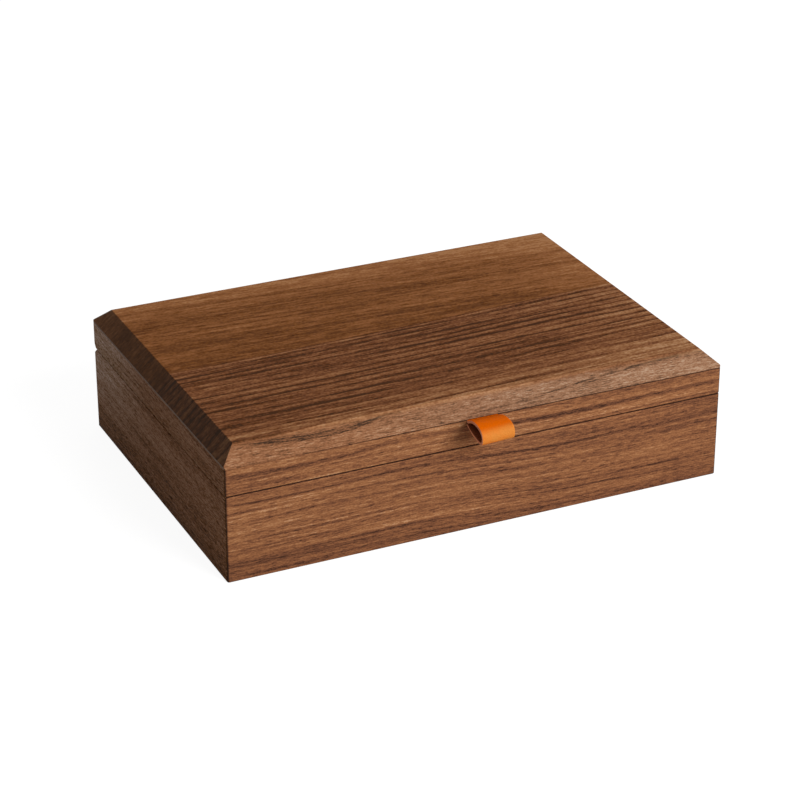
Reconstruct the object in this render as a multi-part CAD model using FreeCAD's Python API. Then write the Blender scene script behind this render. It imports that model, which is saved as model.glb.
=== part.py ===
import FreeCAD, Part
import math
import os

Vector = FreeCAD.Vector

# Wooden case
box_width = 240.0
box_depth = 167.0
base_height = 40.8
lid_gap = 0.4
rail_height = 12.6
top_thickness = 7.7
wall_thickness = 9.0
corner_radius = 1.2
foot_ease = 0.6
rim_ease = 0.35
joint_ease = 0.2

# Bevels round the top board, each as a width on top and a drop at the edge
front_bevel_width = 8.3
front_bevel_drop = 7.4
side_bevel_width = 7.2
side_bevel_drop = 6.7
bevel_ease = 0.4

# Groove along the back, chamfered below and rounded above
base_chamfer_depth = 3.4
base_chamfer_height = 2.9
lid_round_depth = 3.0
lid_round_radius = 8.0

# Bottom panel in its rabbet, and the loose splines of the mitres
bottom_thickness = 5.0
rabbet_width = 4.5
wood_clearance = 0.1
spline_thickness = 2.5
spline_length = 8.0
spline_inset = 4.5
base_spline_stop = 6.0
lid_spline_stop = 3.0

# Butt hinges with stop lips
hinge_inset = 33.0
hinge_length = 30.0
hinge_setback = 1.8
knuckle_count = 5
knuckle_radius = 1.75
knuckle_gap = 0.2
knuckle_relief = 0.3
pin_radius = 0.9
pin_clearance = 0.05
leaf_thickness = 1.0
leaf_gap = 0.1
leaf_margin = 0.6
mortise_clearance = 0.2
lip_reach = 3.3
lip_thickness = 0.8
stop_clearance = 0.1
open_angle = 102.0

# Hinge screws
screw_head_radius = 1.6
screw_radius = 0.85
screw_length = 8.0
screw_point = 1.6
screw_inset = 6.0
screw_clearance = 0.05
driver_slot_width = 0.5
driver_slot_depth = 0.4

# Disc magnets in the front edge
magnet_radius = 3.0
magnet_height = 3.0
magnet_inset = 45.0
magnet_sink = 0.05
magnet_clearance = 0.05

# Leather pull tab, one strip folded to a loop
tab_width = 15.2
tab_reach = 18.7
tab_tail = 6.5
leather_thickness = 1.3
tab_layer_gap = 0.2
tab_flare_angle = 25.0
tab_flare_radius = 3.0
tab_slot_clearance = 0.1

# Lining, dividers and ring rolls
lining_thickness = 1.8
lining_drop = 3.0
glue_gap = 0.2
soft_gap = 0.3
lid_pad_thickness = 3.0
divider_thickness = 4.0
divider_drop = 6.5
divider_ease = 1.6
ring_bay_width = 72.0
centre_divider_y = -28.0
side_divider_y = 2.0
ring_roll_count = 6
ring_roll_drop = 9.5

# Levels and faces that several pieces share
half_width = box_width / 2
half_depth = box_depth / 2
rail_bottom = base_height + lid_gap
rail_top = rail_bottom + rail_height
lid_top = rail_top + top_thickness
inner_x = half_width - wall_thickness
inner_y = half_depth - wall_thickness
axis_y = half_depth - hinge_setback
axis_z = base_height + lid_gap / 2
relief_radius = knuckle_radius + knuckle_relief
leaf_reach = wall_thickness - hinge_setback - leaf_margin
screw_reach = (relief_radius + leaf_reach) / 2
knuckle_pitch = hinge_length / knuckle_count
lined_x = inner_x - glue_gap - lining_thickness
lined_y = inner_y - glue_gap - lining_thickness
floor_level = bottom_thickness + glue_gap + lining_thickness
furnish_level = floor_level + soft_gap
cut_margin = 5.0
level_tolerance = 0.01


def block(low, high):
    """Box between two corners given as (x, y, z)."""
    size = [b - a for a, b in zip(low, high)]
    return Part.makeBox(size[0], size[1], size[2], Vector(*low))


def prism(points, sweep):
    """Polygon through the points, swept along a vector."""
    outline = Part.makePolygon(points + points[:1])
    return Part.Face(outline).extrude(sweep)


def cylinder_x(radius, start_x, length, y, z):
    """Cylinder along the width."""
    return Part.makeCylinder(radius, length, Vector(start_x, y, z), Vector(1, 0, 0))


def level_edges(shape, level):
    """Edges that lie wholly at one height."""
    found = []
    for edge in shape.Edges:
        bounds = edge.BoundBox
        if abs(bounds.ZMin - level) < level_tolerance and abs(bounds.ZMax - level) < level_tolerance:
            found.append(edge)
    return found


def case_block(bottom, top):
    """Slab of the case with its four upright corners eased."""
    slab = block((-half_width, -half_depth, bottom), (half_width, half_depth, top))
    uprights = [edge for edge in slab.Edges if edge.BoundBox.ZLength > (top - bottom) / 2]
    return slab.makeFillet(corner_radius, uprights)


def corners(x, y, z):
    """Corners of a rectangle centred on the case, from the front left round to the back left."""
    return [Vector(-x, -y, z), Vector(x, -y, z), Vector(x, y, z), Vector(-x, y, z)]


def rectangle(x, y, z):
    """Closed rectangle centred on the case at one height."""
    points = corners(x, y, z)
    return Part.makePolygon(points + points[:1])


def bevel_outline(edge, level, width, drop):
    """Wedge that a bevel takes away, as (distance out, height) points."""
    slope = drop / width
    high = level + slope * cut_margin
    low = level - drop - slope * cut_margin
    return [(edge - width - cut_margin, high), (edge + cut_margin, high), (edge + cut_margin, low)]


def bevel_along_width(side, level, width, drop):
    """Wedge along the front (-1) or back (1) edge."""
    start = -half_width - cut_margin
    points = [Vector(start, side * out, up) for out, up in bevel_outline(half_depth, level, width, drop)]
    return prism(points, Vector(box_width + 2 * cut_margin, 0, 0))


def bevel_along_depth(side, level, width, drop):
    """Wedge along the left (-1) or right (1) edge."""
    start = -half_depth - cut_margin
    points = [Vector(side * out, start, up) for out, up in bevel_outline(half_width, level, width, drop)]
    return prism(points, Vector(0, box_depth + 2 * cut_margin, 0))


def inner_rim(edge_level, inside_level):
    """Frustum that eases the inner edge of a frame."""
    wide = rectangle(inner_x + rim_ease, inner_y + rim_ease, edge_level)
    narrow = rectangle(inner_x, inner_y, inside_level)
    return Part.makeLoft([wide, narrow], True, True)


def mitred_sides(frame, bottom, top):
    """Cut a frame into front, back, left and right pieces along its mitres."""
    outer = corners(half_width, half_depth, bottom)
    inner = corners(inner_x, inner_y, bottom)
    pieces = {}
    for index, side in enumerate(["front", "right", "back", "left"]):
        following = (index + 1) % len(outer)
        plan = [outer[index], outer[following], inner[following], inner[index]]
        pieces[side] = frame.common(prism(plan, Vector(0, 0, top - bottom)))
    return pieces


def spline_set(bottom, top, clearance):
    """Four loose splines across the mitres, or their slots with a clearance."""
    half_length = spline_length / 2 + clearance
    half_thickness = spline_thickness / 2 + clearance
    splines = []
    for side_x in (-1, 1):
        for side_y in (-1, 1):
            along = spline_inset / math.sqrt(2)
            place = Vector(side_x * (inner_x + along), side_y * (inner_y + along), 0)
            low = (-half_thickness, -half_length, bottom - clearance)
            high = (half_thickness, half_length, top + clearance)
            spline = block(low, high)
            turn = math.degrees(math.atan2(side_y, side_x))
            spline.rotate(Vector(0, 0, 0), Vector(0, 0, 1), turn)
            spline.translate(place)
            splines.append(spline)
    return splines


def cut_all(piece, tools):
    """Take every tool away from a piece."""
    for tool in tools:
        piece = piece.cut(tool)
    return piece


def hinge_centres():
    """Middle of each hinge along the width."""
    centre_x = half_width - hinge_inset - hinge_length / 2
    return {"left": -centre_x, "right": centre_x}


def knuckle_span(index):
    """Start and length of one knuckle from the hinge's own end."""
    return index * knuckle_pitch + knuckle_gap / 2, knuckle_pitch - knuckle_gap


def swing_plate(start_x, length, inner_radius, outer_radius, angle):
    """Lip that stands out from the pin axis, at an angle from upright towards the back."""
    low = (start_x, -lip_thickness / 2, inner_radius)
    plate = block(low, (start_x + length, lip_thickness / 2, outer_radius))
    plate.rotate(Vector(0, 0, 0), Vector(-1, 0, 0), angle)
    plate.translate(Vector(0, axis_y, axis_z))
    return plate


def lip_angles():
    """Angles of the base lip and the lid lip from upright, with the lid shut."""
    base_angle = 90 + math.degrees(math.atan2(base_chamfer_height, base_chamfer_depth))
    half_lip = math.degrees(math.asin((lip_thickness + stop_clearance) / 2 / relief_radius))
    return base_angle, base_angle - open_angle - 2 * half_lip


def hinge_leaf(centre_x, own_knuckles, upward, lip_angle):
    """One leaf with its knuckles, stop lip and countersunk holes."""
    start_x = centre_x - hinge_length / 2
    near = axis_z + upward * leaf_gap / 2
    far = near + upward * leaf_thickness
    low_z, high_z = min(near, far), max(near, far)
    plate_high = (start_x + hinge_length, axis_y - relief_radius, high_z)
    leaf = block((start_x, axis_y - leaf_reach, low_z), plate_high)
    leaf = leaf.fuse(swing_plate(start_x, hinge_length, relief_radius, lip_reach, lip_angle))
    for index in own_knuckles:
        offset, length = knuckle_span(index)
        knuckle_x = start_x + offset
        tongue = block((knuckle_x, axis_y - relief_radius, low_z), (knuckle_x + length, axis_y, high_z))
        web = swing_plate(knuckle_x, length, pin_radius, relief_radius, lip_angle)
        barrel = cylinder_x(knuckle_radius, knuckle_x, length, axis_y, axis_z)
        leaf = leaf.fuse([tongue, web, barrel])
    bore = cylinder_x(pin_radius + pin_clearance, start_x, hinge_length, axis_y, axis_z)
    holes = [screw(x, upward, screw_clearance, False) for x in screw_places(centre_x)]
    return cut_all(leaf, [bore] + holes).removeSplitter()


def screw_places(centre_x):
    """Places of one leaf's screws along the width."""
    offset = hinge_length / 2 - screw_inset
    return [centre_x - offset, centre_x + offset]


def screw(centre_x, upward, clearance, slotted):
    """Countersunk screw driven away from the parting plane, or its hole with a clearance."""
    head = screw_head_radius + clearance
    shank = screw_radius + clearance
    neck = screw_head_radius - screw_radius
    straight = screw_length - screw_point
    profile = [
        Vector(0, 0, 0),
        Vector(head, 0, 0),
        Vector(shank, 0, neck),
        Vector(shank, 0, straight),
        Vector(0, 0, screw_length + clearance),
    ]
    face = Part.Face(Part.makePolygon(profile + profile[:1]))
    body = face.revolve(Vector(0, 0, 0), Vector(0, 0, 1), 360)
    if slotted:
        slot = block((-head, -driver_slot_width / 2, 0), (head, driver_slot_width / 2, driver_slot_depth))
        body = body.cut(slot)
    if upward < 0:
        body.rotate(Vector(0, 0, 0), Vector(1, 0, 0), 180)
    body.translate(Vector(centre_x, axis_y - screw_reach, axis_z + upward * leaf_gap / 2))
    return body


def hinge_pockets(upward):
    """Room in the wood for the leaves, the knuckles and the screws."""
    tools = []
    near = axis_z
    far = axis_z + upward * (leaf_gap / 2 + leaf_thickness)
    low_z, high_z = min(near, far), max(near, far)
    for centre_x in hinge_centres().values():
        start_x = centre_x - hinge_length / 2 - mortise_clearance
        length = hinge_length + 2 * mortise_clearance
        leaf_low = (start_x, axis_y - leaf_reach - mortise_clearance, low_z)
        tools.append(block(leaf_low, (start_x + length, axis_y, high_z)))
        tools.append(cylinder_x(relief_radius, start_x, length, axis_y, axis_z))
        for x in screw_places(centre_x):
            tools.append(screw(x, upward, screw_clearance, False))
    return tools


def lip_pockets():
    """Room in the back rail for the stop lips of the lid leaves."""
    tools = []
    for centre_x in hinge_centres().values():
        start_x = centre_x - hinge_length / 2 - mortise_clearance
        end_x = centre_x + hinge_length / 2 + mortise_clearance
        front_y = axis_y - lip_thickness / 2 - knuckle_relief
        high_z = axis_z + lip_reach + knuckle_relief
        tools.append(block((start_x, front_y, axis_z), (end_x, half_depth + cut_margin, high_z)))
    return tools


def disc_pair(level, upward, radius, height):
    """Two discs in the middle of the front edge's thickness, from a level up or down."""
    discs = []
    for side in (-1, 1):
        place = Vector(side * (half_width - magnet_inset), -half_depth + wall_thickness / 2, level)
        discs.append(Part.makeCylinder(radius, height, place, Vector(0, 0, upward)))
    return discs


def magnet_pockets(level, upward):
    """Blind holes for the magnets, open at the rim."""
    return disc_pair(level, upward, magnet_radius + magnet_clearance, magnet_sink + magnet_height)


def magnets(level, upward):
    """Disc magnets sunk a little below the rim."""
    return Part.makeCompound(disc_pair(level + upward * magnet_sink, upward, magnet_radius, magnet_height))


def base_walls():
    """Front, back, left and right wall of the base."""
    case = case_block(0, base_height)
    case = case.makeFillet(foot_ease, level_edges(case, 0))
    case = case.makeFillet(rim_ease, level_edges(case, base_height))
    chamfer = bevel_along_width(1, base_height, base_chamfer_depth, base_chamfer_height)
    cavity = block((-inner_x, -inner_y, 0), (inner_x, inner_y, base_height))
    rabbet_x = inner_x + rabbet_width
    rabbet_y = inner_y + rabbet_width
    rabbet = block((-rabbet_x, -rabbet_y, 0), (rabbet_x, rabbet_y, bottom_thickness))
    frame = cut_all(case, [chamfer, cavity, rabbet])
    frame = frame.cut(inner_rim(base_height, base_height - rim_ease))
    walls = mitred_sides(frame, 0, base_height)
    slots = spline_set(bottom_thickness + base_spline_stop, base_height - base_spline_stop, wood_clearance)
    walls = {side: cut_all(wall, slots) for side, wall in walls.items()}
    walls["back"] = cut_all(walls["back"], hinge_pockets(-1))
    walls["front"] = cut_all(walls["front"], magnet_pockets(base_height, -1))
    return walls


def lid_rails():
    """Front, back, left and right rail of the lid."""
    case = case_block(rail_bottom, rail_top)
    case = case.makeFillet(rim_ease, level_edges(case, rail_bottom))
    case = case.makeFillet(joint_ease, level_edges(case, rail_top))
    rise = math.sqrt(2 * lid_round_radius * lid_round_depth - lid_round_depth ** 2)
    turn = math.asin(rise / lid_round_radius) / 2
    start = Vector(-half_width, half_depth - lid_round_depth, rail_bottom)
    end = Vector(-half_width, half_depth, rail_bottom + rise)
    middle = end + Vector(0, -lid_round_radius * (1 - math.cos(turn)), -lid_round_radius * math.sin(turn))
    outer_end = end + Vector(0, cut_margin, 0)
    outer_start = Vector(-half_width, half_depth + cut_margin, rail_bottom - cut_margin)
    below = start - Vector(0, 0, cut_margin)
    edges = [Part.Arc(start, middle, end).toShape()]
    edges.append(Part.makePolygon([end, outer_end, outer_start, below, start]))
    rounding = Part.Face(Part.Wire(edges[0].Edges + edges[1].Edges)).extrude(Vector(box_width, 0, 0))
    cavity = block((-inner_x, -inner_y, rail_bottom), (inner_x, inner_y, rail_top))
    frame = cut_all(case, [rounding, cavity, inner_rim(rail_bottom, rail_bottom + rim_ease)])
    rails = mitred_sides(frame, rail_bottom, rail_top)
    slots = spline_set(rail_bottom + lid_spline_stop, rail_top - lid_spline_stop, wood_clearance)
    rails = {side: cut_all(rail, slots) for side, rail in rails.items()}
    rails["back"] = cut_all(rails["back"], hinge_pockets(1) + lip_pockets())
    rails["front"] = cut_all(rails["front"], magnet_pockets(rail_bottom, 1) + [tab_slot()])
    return rails


def tab_strip_height():
    """Height of the two layers of leather where they lie together."""
    return 2 * leather_thickness + tab_layer_gap


def tab_slot():
    """Notch in the top of the front rail for the ends of the strip."""
    side = tab_width / 2 + tab_slot_clearance
    depth = tab_tail + tab_slot_clearance
    bottom = rail_top - tab_strip_height() - 2 * tab_slot_clearance
    return block((-side, -half_depth - cut_margin, bottom), (side, -half_depth + depth, rail_top))


def tab_edge(offset):
    """Edges of the loop at an offset from the middle of the strip, from the lower to the upper end."""
    flare = math.radians(tab_flare_angle)
    layer = (leather_thickness + tab_layer_gap) / 2
    rise = 1 - math.cos(flare)
    reach = tab_reach - leather_thickness / 2
    swell_radius = (reach - layer) / (math.sin(flare) + rise) - tab_flare_radius
    nose_radius = layer + rise * (swell_radius + tab_flare_radius)
    nose_out = reach - nose_radius
    middle_z = rail_top - tab_slot_clearance - tab_strip_height() / 2

    def place(out, up):
        return Vector(-tab_width / 2, -half_depth - out, middle_z + up)

    def arc(side, out, up, radius, first, last):
        points = []
        for angle in (first, (first + last) / 2, last):
            points.append(place(out + radius * math.cos(angle), side * (up + radius * math.sin(angle))))
        return Part.Arc(*points).toShape()

    quarter = math.pi / 2
    halves = {}
    for side in (-1, 1):
        tail = Part.makeLine(place(-tab_tail, side * (layer + offset)), place(0, side * (layer + offset)))
        flare_radius = tab_flare_radius - offset
        flared = arc(side, 0, layer + tab_flare_radius, flare_radius, -quarter, flare - quarter)
        swell = swell_radius + offset
        swelled = arc(side, nose_out, nose_radius - swell_radius, swell, quarter + flare, quarter)
        nose = arc(side, nose_out, 0, nose_radius + offset, quarter, 0)
        halves[side] = [tail, flared, swelled, nose]
    return halves[-1] + halves[1][::-1]


def pull_tab():
    """Leather strip folded to a loop, with both ends in the slot."""
    outer = tab_edge(leather_thickness / 2)
    inner = tab_edge(-leather_thickness / 2)
    caps = []
    for end in (0, -1):
        back = -half_depth + tab_tail
        ends = []
        for edge in (outer[end], inner[end]):
            ends += [vertex.Point for vertex in edge.Vertexes if abs(vertex.Point.y - back) < level_tolerance]
        caps.append(Part.makeLine(ends[0], ends[1]))
    outline = Part.Wire(Part.__sortEdges__(outer + inner + caps))
    return Part.Face(outline).extrude(Vector(tab_width, 0, 0))


def top_board():
    """Lid top board with its four bevels and a fine ease along the edges of the top face."""
    board = case_block(rail_top, lid_top)
    board = board.makeFillet(joint_ease, level_edges(board, rail_top))
    bevels = [
        bevel_along_width(-1, lid_top, front_bevel_width, front_bevel_drop),
        bevel_along_width(1, lid_top, side_bevel_width, side_bevel_drop),
        bevel_along_depth(-1, lid_top, side_bevel_width, side_bevel_drop),
        bevel_along_depth(1, lid_top, side_bevel_width, side_bevel_drop),
    ]
    board = cut_all(board, bevels)
    return board.makeFillet(bevel_ease, level_edges(board, lid_top))


def bottom_panel():
    """Panel glued into the rabbet of the walls, flush with their feet."""
    x = inner_x + rabbet_width - wood_clearance
    y = inner_y + rabbet_width - wood_clearance
    return block((-x, -y, 0), (x, y, bottom_thickness))


def linings():
    """Lining boards on the floor, the four walls and under the top board."""
    face_x = inner_x - glue_gap
    face_y = inner_y - glue_gap
    top = base_height - lining_drop
    floor_bottom = bottom_thickness + glue_gap
    pad_top = rail_top - glue_gap
    side_y = lined_y - soft_gap
    return {
        "floor_lining": block((-face_x, -face_y, floor_bottom), (face_x, face_y, floor_level)),
        "front_lining": block((-face_x, -face_y, furnish_level), (face_x, -lined_y, top)),
        "back_lining": block((-face_x, lined_y, furnish_level), (face_x, face_y, top)),
        "left_lining": block((-face_x, -side_y, furnish_level), (-lined_x, side_y, top)),
        "right_lining": block((lined_x, -side_y, furnish_level), (face_x, side_y, top)),
        "lid_lining": block((-face_x, -face_y, pad_top - lid_pad_thickness), (face_x, face_y, pad_top)),
    }


def divider(low_x, low_y, high_x, high_y):
    """Covered divider board with its long top edges rounded."""
    top = base_height - divider_drop
    board = block((low_x, low_y, furnish_level), (high_x, high_y, top))
    longest = max(high_x - low_x, high_y - low_y)
    long_edges = [edge for edge in level_edges(board, top) if edge.Length > longest - level_tolerance]
    return board.makeFillet(divider_ease, long_edges)


def dividers():
    """Two long dividers beside the ring bay, one across it and one in each side bay."""
    half = divider_thickness / 2
    bay_x = ring_bay_width / 2
    wall_x = bay_x + divider_thickness
    end_y = lined_y - soft_gap
    low_y, high_y = centre_divider_y - half, centre_divider_y + half
    pieces = {"centre_divider": divider(-bay_x + soft_gap, low_y, bay_x - soft_gap, high_y)}
    low_y, high_y = side_divider_y - half, side_divider_y + half
    pieces["left_long_divider"] = divider(-wall_x, -end_y, -bay_x, end_y)
    pieces["right_long_divider"] = divider(bay_x, -end_y, wall_x, end_y)
    pieces["left_side_divider"] = divider(-lined_x + soft_gap, low_y, -wall_x - soft_gap, high_y)
    pieces["right_side_divider"] = divider(wall_x + soft_gap, low_y, lined_x - soft_gap, high_y)
    return pieces


def ring_rolls():
    """Round-topped foam rolls side by side in the back of the ring bay."""
    start_y = centre_divider_y + divider_thickness / 2
    pitch = (lined_y - start_y) / ring_roll_count
    length = ring_bay_width - 2 * soft_gap
    radius = (pitch - soft_gap) / 2
    rolls = {}
    for index in range(ring_roll_count):
        middle_y = start_y + (index + 0.5) * pitch
        crown = base_height - ring_roll_drop
        shoulder = crown - radius
        corner = Vector(-length / 2, middle_y - radius, furnish_level)
        foot = Vector(-length / 2, middle_y + radius, furnish_level)
        near = Vector(-length / 2, middle_y - radius, shoulder)
        far = Vector(-length / 2, middle_y + radius, shoulder)
        dome = Part.Arc(near, Vector(-length / 2, middle_y, crown), far).toShape()
        sides = Part.makePolygon([far, foot, corner, near])
        section = Part.Face(Part.Wire([dome] + sides.Edges))
        rolls["ring_roll_%d" % (index + 1)] = section.extrude(Vector(length, 0, 0))
    return rolls


def hinges():
    """Leaves and pins of both hinges, and the two groups of screws."""
    base_knuckles = range(0, knuckle_count, 2)
    lid_knuckles = range(1, knuckle_count, 2)
    base_lip, lid_lip = lip_angles()
    pieces = {}
    base_screws = []
    lid_screws = []
    for side, centre_x in hinge_centres().items():
        pieces["%s_hinge_base_leaf" % side] = hinge_leaf(centre_x, base_knuckles, -1, base_lip)
        pieces["%s_hinge_lid_leaf" % side] = hinge_leaf(centre_x, lid_knuckles, 1, lid_lip)
        start_x = centre_x - hinge_length / 2 + knuckle_gap / 2
        length = hinge_length - knuckle_gap
        pieces["%s_hinge_pin" % side] = cylinder_x(pin_radius, start_x, length, axis_y, axis_z)
        base_screws += [screw(x, -1, 0, True) for x in screw_places(centre_x)]
        lid_screws += [screw(x, 1, 0, True) for x in screw_places(centre_x)]
    pieces["base_hinge_screws"] = Part.makeCompound(base_screws)
    pieces["lid_hinge_screws"] = Part.makeCompound(lid_screws)
    return pieces


def all_pieces():
    """Every piece of the box under its node's name."""
    pieces = {"base_%s_wall" % side: wall for side, wall in base_walls().items()}
    pieces.update({"lid_%s_rail" % side: rail for side, rail in lid_rails().items()})
    pieces["lid_top_board"] = top_board()
    pieces["pull_tab"] = pull_tab()
    pieces["bottom_panel"] = bottom_panel()
    base_splines = spline_set(bottom_thickness + base_spline_stop, base_height - base_spline_stop, 0)
    lid_splines = spline_set(rail_bottom + lid_spline_stop, rail_top - lid_spline_stop, 0)
    pieces["base_mitre_splines"] = Part.makeCompound(base_splines)
    pieces["lid_mitre_splines"] = Part.makeCompound(lid_splines)
    pieces["base_magnets"] = magnets(base_height, -1)
    pieces["lid_magnets"] = magnets(rail_bottom, 1)
    pieces.update(hinges())
    pieces.update(linings())
    pieces.update(dividers())
    pieces.update(ring_rolls())
    return pieces


os.makedirs("parts", exist_ok=True)
for node, shape in all_pieces().items():
    shape.exportStep("parts/%s.step" % node)
    print(node, len(shape.Solids), shape.isValid(), round(shape.Volume, 2))
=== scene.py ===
"""Looks of a low walnut jewelry box: wood, leather pull tab, suede fittings and brass hinges."""

import logging
import math
from dataclasses import dataclass, field
from enum import Enum

import bmesh
import bpy
from mathutils import Matrix, Vector


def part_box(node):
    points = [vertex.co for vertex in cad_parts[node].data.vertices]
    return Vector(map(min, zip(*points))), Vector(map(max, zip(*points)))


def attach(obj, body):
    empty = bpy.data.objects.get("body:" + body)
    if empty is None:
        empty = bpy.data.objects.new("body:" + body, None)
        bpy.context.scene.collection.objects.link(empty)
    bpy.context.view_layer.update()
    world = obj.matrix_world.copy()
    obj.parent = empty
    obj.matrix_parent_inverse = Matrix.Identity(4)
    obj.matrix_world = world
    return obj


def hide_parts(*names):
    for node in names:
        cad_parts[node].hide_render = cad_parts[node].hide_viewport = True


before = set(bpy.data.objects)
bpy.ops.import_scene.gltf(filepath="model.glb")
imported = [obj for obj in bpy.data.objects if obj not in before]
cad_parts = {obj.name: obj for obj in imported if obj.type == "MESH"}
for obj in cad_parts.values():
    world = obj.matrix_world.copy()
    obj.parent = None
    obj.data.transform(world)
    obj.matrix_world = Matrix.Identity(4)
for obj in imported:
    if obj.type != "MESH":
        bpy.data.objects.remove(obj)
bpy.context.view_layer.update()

MM = 0.001
GLUE_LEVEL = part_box("lid_top_board")[0].z / MM
PARTING_LEVEL = (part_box("base_front_wall")[1].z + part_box("lid_front_rail")[0].z) / 2 / MM
HALF_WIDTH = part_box("lid_top_board")[1].x / MM
HALF_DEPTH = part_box("lid_top_board")[1].y / MM
Socket = bpy.types.NodeSocket
Colour = tuple[float, float, float, float]
Span = tuple[float, float]
Spot = tuple[float, float, float]
Path = tuple[Span, ...]
log = logging.getLogger("jewelry_box")


class Grain(Enum):
    """Direction in which the fibres of a board run."""

    ACROSS = 0.0
    BACKWARDS = -math.pi / 2


class Cut(Enum):
    """Axis that the growth lines of a board follow each other along."""

    FLAT = "Y"
    UPRIGHT = "Z"


class Body(Enum):
    """The two halves of the box, as the frame names them."""

    BASE = "base"
    LID = "lid"


def tint(red: float, green: float, blue: float) -> Colour:
    """Turns a colour as seen on a screen into the linear one that a shader takes.

    Args:
        red: Red level from 0 to 255.
        green: Green level from 0 to 255.
        blue: Blue level from 0 to 255.

    Returns:
        Linear red, green, blue and an alpha of 1.
    """
    shares = [level / 255 for level in (red, green, blue)]
    linear = [s / 12.92 if s <= 0.04045 else ((s + 0.055) / 1.055) ** 2.4 for s in shares]
    return (*linear, 1.0)


class Nodes:
    """Node tree, with short calls that each add a node and give its output."""

    def __init__(self, tree: bpy.types.NodeTree) -> None:
        """Takes up a tree."""
        self.tree = tree

    def feed(self, socket: Socket, value: object) -> None:
        """Links a socket to another one, or sets its value.

        Args:
            socket: The socket that is fed.
            value: A socket, or a plain value.
        """
        if isinstance(value, bpy.types.NodeSocket):
            self.tree.links.new(value, socket)
        else:
            socket.default_value = value

    def add(self, kind: str, inputs: dict, output: int | str = 0, **settings: object) -> Socket:
        """Adds a node.

        Args:
            kind: Type of the node.
            inputs: Values or sockets by input name or number.
            output: Name or number of the output that is wanted.
            **settings: Properties of the node itself.

        Returns:
            The wanted output.
        """
        node = self.tree.nodes.new(kind)
        for name, value in settings.items():
            setattr(node, name, value)
        for name, value in inputs.items():
            self.feed(node.inputs[name], value)
        return node.outputs[output]

    def math(self, operation: str, first: object, second: object = 0.0, third: object = 0.0) -> Socket:
        """Adds one arithmetic step."""
        inputs = {0: first, 1: second, 2: third}
        return self.add("ShaderNodeMath", inputs, operation=operation)

    def level(self, value: Socket, low: float, high: float, start: float = 0.0, end: float = 1.0) -> Socket:
        """Eases a value from start to end while it goes from low to high."""
        inputs = {"Value": value, "From Min": low, "From Max": high, "To Min": start, "To Max": end}
        return self.add("ShaderNodeMapRange", inputs, interpolation_type="SMOOTHSTEP")

    def millimetres(self, turn: float = 0.0) -> Socket:
        """Gives the place on the piece in millimetres.

        Args:
            turn: Angle by which the axes are turned about the vertical, in radians.

        Returns:
            The coordinates of the place.
        """
        place = self.add("ShaderNodeTexCoord", {}, "Object")
        scale = (1 / MM, 1 / MM, 1 / MM)
        return self.add("ShaderNodeMapping", {"Vector": place, "Rotation": (0, 0, turn), "Scale": scale})

    def facing(self) -> list[Socket]:
        """Gives which way the surface faces, as the three parts of its normal on the piece itself."""
        return self.split(self.add("ShaderNodeTexCoord", {}, "Normal"))

    def noise(
        self, place: Socket, sizes: Spot, shift: float, detail: float = 2.0, rough: float = 0.5
    ) -> Socket:
        """Adds noise whose spots have the given sizes.

        Args:
            place: Coordinates in millimetres.
            sizes: Length of a spot along each axis, in millimetres.
            shift: Offset that picks another stretch of the noise.
            detail: Number of finer layers.
            rough: Weight of the finer layers.

        Returns:
            Noise about 0.5.
        """
        scale = tuple(1 / size for size in sizes)
        inputs = {"Vector": place, "Location": (shift, shift, shift), "Scale": scale}
        spots = self.add("ShaderNodeMapping", inputs)
        inputs = {"Vector": spots, "Scale": 1.0, "Detail": detail, "Roughness": rough}
        return self.add("ShaderNodeTexNoise", inputs)

    def split(self, place: Socket) -> list[Socket]:
        """Gives the three coordinates of a place by themselves."""
        return list(self.add("ShaderNodeSeparateXYZ", {0: place}).node.outputs)

    def curve(self, value: Socket, points: Path) -> Socket:
        """Gives the height of a smooth curve over a value, level before its first and after its last point.

        Args:
            value: The place along the curve.
            points: Places and heights that the curve goes through, with the places in order.

        Returns:
            The height of the curve there.
        """
        places, heights = zip(*points)
        first, run = places[0], places[-1] - places[0]
        low = min(heights)
        rise = (max(heights) - low) or 1.0
        node = self.tree.nodes.new("ShaderNodeFloatCurve")
        node.mapping.extend = "HORIZONTAL"
        knots = node.mapping.curves[0].points
        for _ in points[2:]:
            knots.new(0.5, 0.5)
        for knot, (place, height) in zip(knots, points):
            knot.location = ((place - first) / run, (height - low) / rise)
            knot.handle_type = "AUTO_CLAMPED"
        node.mapping.update()
        self.feed(node.inputs["Value"], self.math("DIVIDE", self.math("SUBTRACT", value, first), run))
        return self.math("MULTIPLY_ADD", node.outputs[0], rise, low)

    def ramp(self, value: Socket, stops: tuple) -> Socket:
        """Turns a value into a colour.

        Args:
            value: The value from 0 to 1.
            stops: Positions and colours, with the positions in order.

        Returns:
            The colour.
        """
        node = self.tree.nodes.new("ShaderNodeValToRGB")
        elements = node.color_ramp.elements
        for _ in range(len(stops) - len(elements)):
            elements.new(1.0)
        for element, (position, colour) in zip(elements, stops):
            element.position = position
            element.color = colour
        self.feed(node.inputs[0], value)
        return node.outputs[0]

    def blend(self, share: object, first: object, second: object, mode: str = "MIX") -> Socket:
        """Mixes two colours."""
        inputs = {0: share, 6: first, 7: second}
        return self.add("ShaderNodeMix", inputs, 2, data_type="RGBA", blend_type=mode)

    def bump(self, height: Socket, depth: float, strength: float) -> Socket:
        """Roughens the surface by a height, whose full range is depth in metres."""
        inputs = {"Height": height, "Distance": depth, "Strength": strength}
        return self.add("ShaderNodeBump", inputs)


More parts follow.
